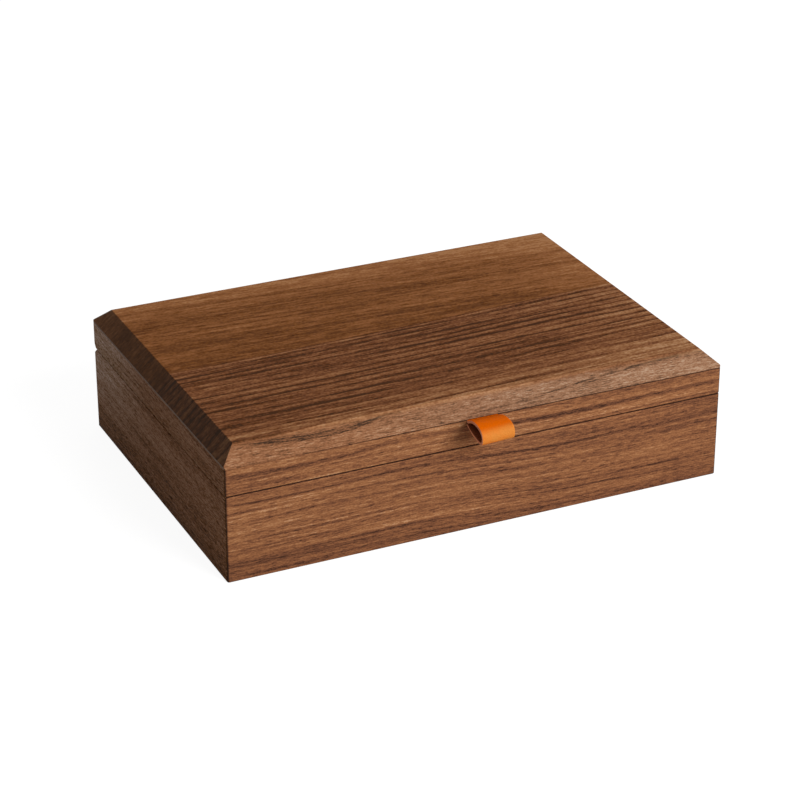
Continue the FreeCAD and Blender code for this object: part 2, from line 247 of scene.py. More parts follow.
class Recipe(Nodes):
    """Node tree of one material."""

    def __init__(self, name: str) -> None:
        """Starts a material with one principled shader.

        Args:
            name: Name of the material.
        """
        self.material = bpy.data.materials.new(name)
        self.material.use_nodes = True
        super().__init__(self.material.node_tree)
        self.shader = self.tree.nodes["Principled BSDF"]

    def finish(self, colour: Socket, rough: Socket, normal: Socket, **fixed: object) -> bpy.types.Material:
        """Connects the shader and gives the material.

        Args:
            colour: Colour of the surface.
            rough: Its roughness.
            normal: Its roughened normal.
            **fixed: Uniform values by name of the shader's input, with _ for a space.

        Returns:
            The finished material.
        """
        for name, value in {"Base Color": colour, "Roughness": rough, "Normal": normal}.items():
            self.feed(self.shader.inputs[name], value)
        for name, value in fixed.items():
            self.shader.inputs[name.replace("_", " ")].default_value = value
        return self.material


@dataclass(frozen=True)
class Layer:
    """Grain marks of one size: their width and length in millimetres, and their weight in the tone.

    Marks ease in while the noise that draws them goes from low to high, so close values give crisp ones.
    """

    width: float
    length: float
    weight: float
    low: float = 0.3
    high: float = 0.7


@dataclass(frozen=True)
class Bend:
    """How the grain lines leave the straight: they rise between two places, and wobble besides."""

    rise: float = 0.0
    first: float = -120.0
    last: float = 120.0
    wobble: float = 0.8
    wobble_size: Spot = (90.0, 16.0, 60.0)


@dataclass(frozen=True)
class Rings:
    """Growth rings: where they start, their pitch and how it grows, and how dark they get.

    Each is drawn over a span of its pitch, wanders by part of the pitch, and is faint in places.
    """

    start: float
    pitch: float
    growth: float
    dark: float
    drawn: Span = (0.35, 0.92)
    broken_off: Span = (0.93, 1.0)
    wander: float = 0.5
    wander_size: Spot = (45.0, 9.0, 30.0)
    faintest: float = 0.35
    faint_size: Spot = (55.0, 20.0, 20.0)


@dataclass(frozen=True)
class CastAndSheen:
    """Colour that tints the wood more and more between two places along the grain, and two across it. On the
    bevel of the top board it warms the wood's tone; on the side boards it is a painted sheen.

    It shows from skin outwards, a distance from the middle of the box through the board.
    """

    first: float
    last: float
    colour: Colour
    low: float = -201.0
    high: float = -200.0
    skin: float = -1.0
    blur: float = 0.5


@dataclass(frozen=True)
class Streak:
    """A line that follows the grain.

    Its path has places along and across the bent grain, in millimetres. Dark is what it takes from
    the tone at most, below zero for a pale line.
    """

    path: Path
    width: float
    dark: float
    fade: float = 7.0
    faintest: float = 0.62
    faint_size: Spot = (36.0, 1.4, 3.0)


@dataclass(frozen=True)
class Joint:
    """Line where boards meet: full within core of its middle and gone at its edge, in millimetres. Dark glue
    and mitre lines are drawn with it, and so are painted shade in the gap between lid and base and, with dark
    below zero, a painted highlight along an edge.
    """

    middle: float
    core: float
    edge: float
    dark: float

    def taken(self, recipe: Recipe, place: Socket) -> Socket:
        """Gives what the line takes from the tone, by the place across it."""
        gap = recipe.math("ABSOLUTE", recipe.math("SUBTRACT", place, self.middle))
        return recipe.level(gap, self.core, self.edge, self.dark, 0.0)


WALNUT_TONES = (
    (0.0, tint(70, 44, 32)),
    (0.1, tint(96, 61, 44)),
    (0.3, tint(116, 74, 51)),
    (0.5, tint(136, 88, 58)),
    (0.7, tint(154, 103, 67)),
    (0.9, tint(172, 121, 82)),
    (1.0, tint(188, 140, 104)),
)
GOLDEN_TONES = (
    (0.0, tint(70, 39, 16)),
    (0.1, tint(95, 54, 25)),
    (0.3, tint(114, 68, 40)),
    (0.5, tint(138, 87, 53)),
    (0.7, tint(158, 107, 69)),
    (0.9, tint(177, 126, 85)),
    (1.0, tint(190, 142, 103)),
)
AMBER_TONES = (
    (0.0, tint(70, 37, 15)),
    (0.1, tint(94, 53, 20)),
    (0.3, tint(113, 66, 30)),
    (0.5, tint(136, 84, 43)),
    (0.7, tint(154, 98, 57)),
    (0.9, tint(171, 114, 69)),
    (1.0, tint(185, 130, 86)),
)
SIDE_TONES = (
    (0.0, tint(58, 34, 20)),
    (0.1, tint(80, 49, 25)),
    (0.3, tint(108, 69, 38)),
    (0.45, tint(129, 87, 57)),
    (0.6, tint(145, 104, 78)),
    (0.8, tint(162, 123, 97)),
    (1.0, tint(180, 143, 117)),
)
BEVEL_TONES = (
    (0.0, tint(60, 46, 38)),
    (0.15, tint(90, 66, 51)),
    (0.4, tint(122, 87, 64)),
    (0.64, tint(148, 106, 78)),
    (0.85, tint(163, 124, 96)),
    (1.0, tint(178, 144, 118)),
)
PLAIN_LAYERS = (
    Layer(0.4, 3.0, 0.26),
    Layer(0.45, 1.0, 0.2),
    Layer(0.8, 25.0, 0.14),
    Layer(1.0, 60.0, -0.1, 0.53, 0.63),
    Layer(1.0, 80.0, 0.1, 0.53, 0.63),
    Layer(1.8, 70.0, 0.13),
    Layer(3.2, 150.0, 0.13),
    Layer(6.0, 240.0, 0.11),
    Layer(12.0, 250.0, 0.09),
    Layer(24.0, 400.0, 0.05),
)
SIDE_LAYERS = (
    Layer(0.4, 3.0, 0.28),
    Layer(0.4, 0.9, 0.25),
    Layer(0.8, 14.0, 0.12),
    Layer(1.4, 40.0, 0.13),
    Layer(3.0, 60.0, 0.12),
    Layer(6.0, 120.0, 0.1),
    Layer(12.0, 200.0, 0.1),
)
FRONT_STREAKS = (
    Streak(((-120, 50.4), (-76, 49.2), (-40, 50.6), (18, 50.5), (40, 50.9), (118, 51.0)), 1.8, 0.52),
    Streak(((40, 51.5), (118, 51.5)), 6.5, -0.04, 15),
    Streak(((50, 6.5), (118, 5.5)), 4.5, -0.1, 20),
    Streak(((20, 15.0), (118, 15.0)), 5.0, 0.03, 20),
    Streak(((-112, 44.4), (-60, 44.8), (-8, 44.6)), 1.9, 0.14),
    Streak(((46, 44.5), (118, 44.5)), 4.0, 0.06, 20),
    Streak(((4, 21.0), (36, 21.0)), 5.0, -0.08, 12),
    Streak(((-34, 4.0), (34, 4.0)), 5.0, 0.08, 12),
    Streak(((28, 45.7), (70, 46.0), (118, 45.8)), 0.7, 0.3),
    Streak(((28, 46.7), (70, 47.0), (118, 46.8)), 0.5, -0.12),
    Streak(((64, 56.4), (112, 56.5)), 0.9, 0.24),
    Streak(
        (
            (-120, 37.6), (-100, 36.1), (-40, 36.6), (10, 35.7), (60, 36.0), (72, 36.6), (84, 35.8),
            (118, 36.0),
        ),
        1.0, 0.35,
    ),
    Streak(((-120, 32.8), (-96, 32.2), (-80, 31.6), (-60, 32.2), (0, 31.6), (24, 31.8)), 1.3, 0.22),
    Streak(((-118, 32.9), (-96, 32.3)), 1.4, 0.17),
    Streak(
        ((-110, 27.4), (-60, 28.0), (0, 27.6), (40, 27.5), (60, 27.2), (76, 26.4), (118, 26.0)),
        1.6, 0.22,
    ),
    Streak(((54, 27.2), (78, 26.4)), 1.5, 0.18),
    Streak(((-118, 24.2), (-56, 24.4)), 2.6, -0.14),
    Streak(
        ((-108, 18.6), (-76, 18.6), (-30, 18.4), (0, 17.6), (46, 18.3), (70, 16.8), (100, 15.6)),
        1.1, 0.25,
    ),
    Streak(((-116, 14.6), (-88, 14.8), (-72, 14.3), (-40, 14.2)), 0.8, 0.3),
    Streak(((-118, 8.6), (-104, 8.4), (-90, 8.9), (-60, 9.2), (0, 8.2), (40, 8.1), (80, 6.0)), 0.8, 0.24),
    Streak(((-104, 7.3), (-94, 7.2)), 0.8, 0.25),
    Streak(((34, 13.2), (52, 13.0), (80, 12.0), (104, 11.2)), 0.7, 0.29),
    Streak(((-118, 3.2), (-90, 2.2), (-60, 3.0), (-16, 3.0)), 1.4, 0.25),
)
BEVEL_STREAKS = (
    Streak(
        ((-112, -76.2), (-97, -77.4), (-82, -78.5), (-69, -78.7), (-58, -78.0), (-46, -76.0)),
        1.8, 0.2, 12,
    ),
    Streak(((-110, -76.5), (-96, -77.7), (-81, -78.9), (-68, -79.0), (-56, -78.2), (-44, -76.0)), 0.4, 0.36),
    Streak(((-104, -76.2), (-90, -77.2), (-76, -77.7), (-62, -77.2)), 0.36, 0.32),
    Streak(((-60, -77.9), (-48, -76.6), (-30, -75.6)), 0.45, 0.4),
    Streak(((36, -80.2), (57, -78.8), (80, -77.5), (103, -76.4)), 1.4, 0.1, 12),
    Streak(((30, -80.2), (43, -79.4)), 0.5, 0.44, 3),
    Streak(((47, -78.9), (57, -78.2)), 0.5, 0.5, 3),
    Streak(((52, -79.5), (60, -79.0)), 0.45, 0.4, 3),
    Streak(((61, -78.0), (69, -77.5)), 0.55, 0.54, 3),
    Streak(((75, -77.3), (86, -76.8)), 0.6, 0.56, 3),
    Streak(((89, -76.9), (102, -76.2)), 0.6, 0.56, 3),
    Streak(((106, -76.1), (113, -75.8)), 0.5, 0.46, 3),
    Streak(((64, -76.4), (112, -75.8)), 2.4, 0.2, 12),
    Streak(((84, -79.0), (112, -79.0)), 6.0, 0.07, 15),
    Streak(((-112, -77.5), (10, -77.0)), 3.0, 0.1, 20),
    Streak(((-8, -82.0), (20, -81.2), (32, -80.6)), 0.5, 0.34),
    Streak(((62, -80.6), (112, -79.8)), 4.0, -0.06),
    Streak(((-52, -81.5), (-30, -81.5)), 3.5, -0.14, 8),
)
TOP_STREAKS = (
    Streak(((-112, -0.9), (-40, -1.1), (20, -0.9), (70, -0.9)), 0.8, 0.34),
    Streak(((-112, -2.3), (-40, -2.5), (60, -2.3)), 0.6, -0.14),
    Streak(((-112, -9.0), (-86, -9.6), (-60, -10.0)), 3.0, 0.2),
    Streak(((-28, -20.4), (20, -20.8), (106, -21.0)), 0.9, 0.2),
    Streak(((2, -30.2), (22, -30.4)), 1.0, 0.3),
    Streak(((-8, -41.2), (60, -41.4)), 0.9, 0.22),
    Streak(((-60, -50.6), (-36, -50.8)), 1.0, 0.26),
    Streak(((-108, -55.0), (-45, -55.6)), 1.0, 0.26),
    Streak(((62, -47.0), (112, -48.0)), 12.0, -0.11, 15),
)


@dataclass(frozen=True)
class Stretch:
    """Pattern of one stretch of a board, with places and sizes in millimetres.

    Zones give the middle tone by the place across the bent grain, run what is added to it by the place
    along the grain, and tones the colour of each tone.
    """

    shift: float
    zones: Path = ((-100.0, 0.5), (100.0, 0.5))
    layers: tuple[Layer, ...] = PLAIN_LAYERS
    bend: Bend = Bend()
    # on the top board and the side boards, run is a painted sheen that lightens one end
    run: Path = ((-120.0, 0.0), (120.0, 0.0))
    rings: Rings | None = None
    streaks: tuple[Streak, ...] = ()
    tones: tuple = WALNUT_TONES
    cast: CastAndSheen | None = None

    def bent(self, recipe: Recipe, place: Socket) -> Socket:
        """Takes the bend of the grain out of a place, so that its lines run straight.

        Args:
            recipe: The material's node tree.
            place: Coordinates along the grain, across its lines and through the board.

        Returns:
            The straightened coordinates.
        """
        along, across, through = recipe.split(place)
        lift = recipe.level(along, self.bend.first, self.bend.last, 0.0, self.bend.rise)
        sway = recipe.noise(place, self.bend.wobble_size, self.shift, 1.0)
        lift = recipe.math("MULTIPLY_ADD", sway, 4 * self.bend.wobble, lift)
        level = recipe.math("SUBTRACT", recipe.math("ADD", across, 2 * self.bend.wobble), lift)
        return recipe.add("ShaderNodeCombineXYZ", {0: along, 1: level, 2: through})

    def tone(self, recipe: Recipe, place: Socket) -> Socket:
        """Adds up the zones, grain marks, rings and streaks.

        Args:
            recipe: The material's node tree.
            place: Coordinates from bent.

        Returns:
            The wood's tone from 0, dark, to 1, pale.
        """
        along, across, _ = recipe.split(place)
        tone = recipe.math("ADD", recipe.curve(across, self.zones), recipe.curve(along, self.run))
        for number, layer in enumerate(self.layers):
            sizes = (layer.length, layer.width, 2 * layer.width)
            noise = recipe.noise(place, sizes, self.shift + 1.7 * number, 0.0)
            marks = recipe.level(noise, layer.low, layer.high, -0.5 * layer.weight, 0.5 * layer.weight)
            tone = recipe.math("ADD", tone, marks)
        if self.rings:
            tone = recipe.math("SUBTRACT", tone, self.ringed(recipe, place, self.rings))
        for streak in self.streaks:
            tone = recipe.math("SUBTRACT", tone, self.streaked(recipe, place, streak))
        return tone

    def ringed(self, recipe: Recipe, place: Socket, rings: Rings) -> Socket:
        """Draws growth rings: each darkens slowly towards its end and then breaks off.

        Args:
            recipe: The material's node tree.
            place: Coordinates from bent.
            rings: The rings.

        Returns:
            What they take from the tone.
        """
        along, across, _ = recipe.split(place)
        gone = recipe.math("SUBTRACT", rings.start, across)
        pitch = recipe.math("MULTIPLY_ADD", gone, rings.growth, rings.pitch)
        sway = recipe.noise(place, rings.wander_size, self.shift + 9.1, 1.0)
        turn = recipe.math("MULTIPLY_ADD", sway, rings.wander, recipe.math("DIVIDE", gone, pitch))
        turn = recipe.math("SUBTRACT", turn, rings.wander / 2)
        part = recipe.math("FRACT", turn)
        row = recipe.math("MULTIPLY", recipe.math("FLOOR", turn), 50.0)
        spot = recipe.add("ShaderNodeCombineXYZ", {0: along, 1: row, 2: 0.0})
        patches = recipe.noise(spot, rings.faint_size, self.shift + 3.3, 1.0)
        amount = recipe.level(patches, 0.32, 0.66, rings.faintest, 1.0)
        rise = recipe.level(part, *rings.drawn, 0.0, rings.dark)
        fall = recipe.level(part, *rings.broken_off, 1.0, 0.0)
        return recipe.math("MULTIPLY", recipe.math("MULTIPLY", rise, fall), amount)

    def streaked(self, recipe: Recipe, place: Socket, streak: Streak) -> Socket:
        """Draws one streak, with ragged edges and soft ends.

        Args:
            recipe: The material's node tree.
            place: Coordinates from bent.
            streak: The streak.

        Returns:
            What it takes from the tone.
        """
        along, across, _ = recipe.split(place)
        gap = recipe.math("ABSOLUTE", recipe.math("SUBTRACT", across, recipe.curve(along, streak.path)))
        core = recipe.level(gap, 0.0, streak.width, streak.dark, 0.0)
        first, last = streak.path[0][0], streak.path[-1][0]
        begin = recipe.level(along, first - streak.fade, first + streak.fade)
        end = recipe.level(along, last - streak.fade, last + streak.fade, 1.0, 0.0)
        ragged = recipe.noise(place, streak.faint_size, self.shift + streak.path[0][1], 1.0, 0.6)
        shown = recipe.level(ragged, 0.25, 0.52, streak.faintest, 1.0)
        drawn = recipe.math("MULTIPLY", core, shown)
        return recipe.math("MULTIPLY", drawn, recipe.math("MULTIPLY", begin, end))


@dataclass(frozen=True)
class Walnut:
    """Oiled walnut, cut with its grain along one axis and its growth lines along another."""

    name: str
    grain: Grain
    cut: Cut
    stretch: Stretch
    # glue line: dark on the front boards and the top board; on the side boards, with dark below zero, a
    # painted highlight
    glue_line_and_highlight: Joint = Joint(GLUE_LEVEL, 0.14, 0.4, 0.75)
    glue_line_and_highlight_shown: Span = (-110.0, -50.0)
    # painted shade of the gap between lid and base, along the parting line
    parting: Joint = Joint(PARTING_LEVEL, 0.26, 0.5, 0.7)
    skin: Span = (HALF_DEPTH - 1.1, HALF_DEPTH - 0.5)
    mitre: Joint | None = None
    pore_dark: float = 0.22
    pore_size: Spot = (4.2, 0.5, 0.5)
    crowd_size: Spot = (50.0, 3.0, 6.0)
    fibre_size: Spot = (9.0, 0.22, 0.22)
    relief: float = 0.05 * MM
    rough: Span = (0.56, 0.8)
    slant: Span = (0.35, 0.8)
    slant_tint: Colour = tint(52, 42, 35)
    slant_share: float = 0.78
    end: Span = (0.8, 0.97)
    # painted highlight: the pale grey given to faces cut square to the grain
    end_highlight_tint: Colour = tint(142, 120, 106)
    end_highlight_share: float = 0.75
    gloss: float = 0.03

    def material(self) -> bpy.types.Material:
        """Builds the wood.

        Returns:
            The finished material.
        """
        recipe = Recipe(self.name)
        place = self.lay_out(recipe)
        pores = self.pores(recipe, self.stretch.bent(recipe, place))
        taken = recipe.math("MULTIPLY_ADD", pores, self.pore_dark, self.joints(recipe, place))
        colour = self.colour(recipe, place, taken)
        colour = self.shade_ends(recipe, colour)
        fibre = recipe.noise(place, self.fibre_size, self.stretch.shift + 7.7, 2.0)
        height = recipe.math("SUBTRACT", recipe.math("MULTIPLY", fibre, 0.35), pores)
        rough = recipe.level(pores, 0.0, 1.0, *self.rough)
        rough = recipe.math("ADD", rough, recipe.math("MULTIPLY", fibre, 0.08))
        normal = recipe.bump(height, self.relief, 0.5)
        return recipe.finish(colour, rough, normal, Specular_IOR_Level=self.gloss)

    def lay_out(self, recipe: Recipe) -> Socket:
        """Lays coordinates on the board, in millimetres.

        Args:
            recipe: The material's node tree.

        Returns:
            The place along the grain, across its lines and through the board.
        """
        along, wide, high = recipe.split(recipe.millimetres(self.grain.value))
        across, through = (wide, high) if self.cut is Cut.FLAT else (high, wide)
        return recipe.add("ShaderNodeCombineXYZ", {0: along, 1: across, 2: through})

    def colour(self, recipe: Recipe, place: Socket, taken: Socket) -> Socket:
        """Paints the board in its one pattern.

        Args:
            recipe: The material's node tree.
            place: Coordinates from lay_out.
            taken: What pores and joints take from the tone.

        Returns:
            The colour of the wood.
        """
        return self.paint(recipe, self.stretch, place, taken)

    def paint(self, recipe: Recipe, stretch: Stretch, place: Socket, taken: Socket) -> Socket:
        """Paints one stretch, and multiplies in its cast, which on the side boards is a painted sheen.

        Args:
            recipe: The material's node tree.
            stretch: The stretch.
            place: Coordinates from lay_out.
            taken: What pores and joints take from the tone.

        Returns:
            Its colour, also where other stretches will hide it.
        """
        tone = stretch.tone(recipe, stretch.bent(recipe, place))
        colour = recipe.ramp(recipe.math("SUBTRACT", tone, taken), stretch.tones)
        if not stretch.cast:
            return colour
        cast = stretch.cast
        along, across, through = recipe.split(place)
        share = recipe.level(along, cast.first, cast.last)
        share = recipe.math("MULTIPLY", share, recipe.level(across, cast.low, cast.high))
        depth = recipe.math("ABSOLUTE", through)
        share = recipe.math("MULTIPLY", share, recipe.level(depth, cast.skin, cast.skin + cast.blur))
        return recipe.blend(share, colour, cast.colour, "MULTIPLY")

    def joints(self, recipe: Recipe, place: Socket) -> Socket:
        """Draws the dark glue and mitre lines, the parting line, which is painted shade of the gap between
        lid and base, and on the side boards a pale glue line, which is a painted highlight. The parting stays
        off the rims inside.

        Args:
            recipe: The material's node tree.
            place: Coordinates from lay_out.

        Returns:
            What the lines take from the tone.
        """
        along, _, through = recipe.split(place)
        height = recipe.split(recipe.millimetres())[2]
        glued = self.glue_line_and_highlight.taken(recipe, height)
        glued = recipe.math("MULTIPLY", glued, recipe.level(along, *self.glue_line_and_highlight_shown))
        upright = recipe.level(recipe.math("ABSOLUTE", recipe.facing()[2]), 0.8, 0.95, 1.0, 0.0)
        outside = recipe.level(recipe.math("ABSOLUTE", through), *self.skin)
        shown = recipe.math("MAXIMUM", upright, outside)
        lines = recipe.math("MULTIPLY_ADD", self.parting.taken(recipe, height), shown, glued)
        if not self.mitre:
            return lines
        mitred = self.mitre.taken(recipe, recipe.math("ABSOLUTE", along))
        return recipe.math("ADD", lines, mitred)

    def pores(self, recipe: Recipe, place: Socket) -> Socket:
        """Draws the open pores, short dashes along the grain that crowd together in places.

        Args:
            recipe: The material's node tree.
            place: Coordinates from Stretch.bent.

        Returns:
            1 in a pore and 0 beside it.
        """
        dashes = recipe.noise(place, self.pore_size, self.stretch.shift + 5.3, 0.0)
        crowd = recipe.noise(place, self.crowd_size, self.stretch.shift + 6.1, 1.0)
        limit = recipe.math("MULTIPLY_ADD", crowd, -0.3, 0.76)
        above = recipe.math("SUBTRACT", dashes, limit)
        return recipe.level(above, 0.0, 0.09)

    def shade_ends(self, recipe: Recipe, colour: Socket) -> Socket:
        """Darkens slanted faces that are cut across the grain, and paints a pale grey highlight on faces cut
        square to it, such as the narrow strip below the top board's side bevels.

        Args:
            recipe: The material's node tree.
            colour: The colour of the wood along its grain.

        Returns:
            The colour on every face.
        """
        across = recipe.math("ABSOLUTE", recipe.facing()[0 if self.grain is Grain.ACROSS else 1])
        slanted = recipe.level(across, *self.slant, 0.0, self.slant_share)
        # painted highlight on faces cut square to the grain
        square = recipe.level(across, *self.end, 0.0, self.end_highlight_share)
        return recipe.blend(square, recipe.blend(slanted, colour, self.slant_tint), self.end_highlight_tint)


@dataclass(frozen=True)
class TopWalnut(Walnut):
    """Walnut of the top board: striped in front, plainer behind a seam in the grain, flecked on its bevel."""

    back: Stretch = Stretch(
        11.0,
        zones=(
            (11, 0.46), (21, 0.43), (29, 0.43), (37, 0.5), (45, 0.45), (53, 0.45), (60, 0.51), (68, 0.64),
            (76, 0.77), (88, 0.81),
        ),
        layers=(
            Layer(0.8, 1.2, 0.2), Layer(1.0, 6.0, 0.2), Layer(1.6, 18.0, 0.15),
            Layer(1.5, 60.0, 0.14, 0.45, 0.64), Layer(3.0, 70.0, 0.12), Layer(5.5, 120.0, 0.08),
            Layer(10.0, 200.0, 0.09), Layer(20.0, 400.0, 0.09),
        ),
        bend=Bend(-22.0, -300.0, 300.0),
        # painted sheen: the back of the board gets lighter towards its right end
        run=((-112, 0.0), (40, 0.0), (70, 0.05), (112, 0.24)),
        tones=AMBER_TONES,
    )
    bevel: Stretch = Stretch(
        31.0,
        zones=((-84, 0.55), (-75, 0.59)),
        layers=(
            Layer(0.35, 3.5, 0.28), Layer(0.38, 1.0, 0.24), Layer(0.7, 9.0, 0.1), Layer(1.1, 24.0, 0.06),
            Layer(0.42, 4.5, -0.3, 0.6, 0.68), Layer(2.4, 40.0, 0.05), Layer(6.0, 60.0, 0.12),
            Layer(12.0, 90.0, 0.09),
        ),
        bend=Bend(wobble=0.3),
        streaks=BEVEL_STREAKS,
        tones=BEVEL_TONES,
        cast=CastAndSheen(30.0, -80.0, (1.04, 0.9, 0.77, 1.0)),
    )
    seam: Span = (-0.9, -0.3)
    bevel_top: float = -75.2
    bevel_fade: float = 2.2

    def colour(self, recipe: Recipe, place: Socket, taken: Socket) -> Socket:
        """Paints the three stretches of the board and puts them together.

        Args:
            recipe: The material's node tree.
            place: Coordinates from lay_out.
            taken: What pores and joints take from the tone.

        Returns:
            The colour of the wood.
        """
        front, back, bevel = (
            self.paint(recipe, stretch, place, taken) for stretch in (self.stretch, self.back, self.bevel)
        )
        bent = recipe.split(self.stretch.bent(recipe, place))[1]
        behind = recipe.level(bent, *self.seam)
        colour = recipe.blend(behind, front, back)
        slanted = recipe.level(recipe.facing()[1], -0.5, -0.3, 1.0, 0.0)
        across = recipe.split(place)[1]
        before = recipe.level(across, self.bevel_top - self.bevel_fade, self.bevel_top, 1.0, 0.25)
        return recipe.blend(recipe.math("MULTIPLY", slanted, before), colour, bevel)


@dataclass
class Case:
    """The wooden parts: base walls, lid rails, top board, bottom panel and mitre splines."""

    top: Walnut = TopWalnut(
        "walnut_top_board", Grain.ACROSS, Cut.FLAT,
        Stretch(
            17.0,
            zones=(
                (-78, 0.66), (-70.5, 0.62), (-62.5, 0.43), (-54.5, 0.37), (-46.5, 0.37), (-38.5, 0.42),
                (-31.5, 0.5), (-23.5, 0.42), (-15.5, 0.37), (-8, 0.4), (-4, 0.45), (0, 0.49),
            ),
            layers=(
                Layer(0.8, 1.2, 0.26), Layer(1.1, 9.0, 0.24), Layer(1.4, 60.0, -0.18, 0.54, 0.64),
                Layer(2.4, 60.0, 0.12), Layer(4.8, 80.0, 0.08), Layer(9.5, 200.0, 0.08),
                Layer(19.0, 400.0, 0.08),
            ),
            bend=Bend(8.2, -110.0, 200.0, 0.4),
            # painted sheen: the board gets lighter towards its right end, and a little darker at its left
            run=((-112, -0.04), (-40, 0.0), (30, 0.02), (70, 0.07), (112, 0.24)),
            rings=Rings(-0.8, 3.9, 0.0145, 0.55),
            streaks=TOP_STREAKS,
            tones=GOLDEN_TONES,
        ),
        glue_line_and_highlight=Joint(GLUE_LEVEL, 0.14, 0.4, 0.55),
        pore_dark=0.1,
    )
    front: Walnut = Walnut(
        "walnut_front_boards", Grain.ACROSS, Cut.UPRIGHT,
        Stretch(
            23.0,
            zones=(
                (1, 0.26), (4, 0.33), (8, 0.42), (11, 0.56), (20, 0.58), (27, 0.54), (36, 0.51), (41, 0.51),
                (46, 0.57), (58, 0.62),
            ),
            bend=Bend(-3.6, -35.0, 55.0, 0.4),
            run=((-118, 0.05), (-60, 0.08), (0, 0.07), (40, 0.0), (80, -0.02), (118, -0.09)),
            streaks=FRONT_STREAKS,
        ),
        mitre=Joint(HALF_WIDTH, 0.2, 1.0, 0.6),
    )
    side: Walnut = Walnut(
        "walnut_side_boards", Grain.BACKWARDS, Cut.UPRIGHT,
        Stretch(
            37.0,
            zones=((0, 0.24), (5, 0.29), (12, 0.41), (20, 0.48), (34, 0.53), (60, 0.55)),
            layers=SIDE_LAYERS,
            bend=Bend(2.0, -60.0, 60.0),
            # painted sheen: the side boards get lighter towards the back, and paler and bluish towards the
            # back and top of their outer faces
            run=((-84, -0.06), (-40, -0.05), (20, 0.0), (84, 0.05)),
            tones=SIDE_TONES,
            cast=CastAndSheen(0.0, 84.0, (1.6, 2.1, 2.8, 1.0), 0.0, 45.0, 119.3),
        ),
        # painted highlight: a pale thin line along the eased top edge of the side rails, under the bevel
        glue_line_and_highlight=Joint(GLUE_LEVEL, 0.14, 0.4, -0.22),
        parting=Joint(PARTING_LEVEL, 0.26, 0.5, 0.0),
        mitre=Joint(HALF_DEPTH, 0.2, 1.0, 0.6),
        gloss=0.015,
    )
    panel: Walnut = Walnut("walnut_panel", Grain.ACROSS, Cut.FLAT, Stretch(51.0))

    def dress(self) -> None:
        """Gives every wooden node its wood."""
        top, front = self.top.material(), self.front.material()
        side, panel = self.side.material(), self.panel.material()
        finishes = {
            top: ["lid_top_board"],
            front: ["base_front_wall", "base_back_wall", "lid_front_rail", "lid_back_rail"],
            side: ["base_left_wall", "base_right_wall", "lid_left_rail", "lid_right_rail"],
            panel: ["bottom_panel", "base_mitre_splines", "lid_mitre_splines"],
        }
        for material, nodes in finishes.items():
            dress_nodes(material, nodes)


def dress_nodes(material: bpy.types.Material, nodes: list[str]) -> None:
    """Gives nodes of the frame a material.

    Args:
        material: The material.
        nodes: Names of the nodes.
    """
    for name in nodes:
        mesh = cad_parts[name].data
        mesh.materials.clear()
        mesh.materials.append(material)
        log.info("%s takes %s", name, material.name)


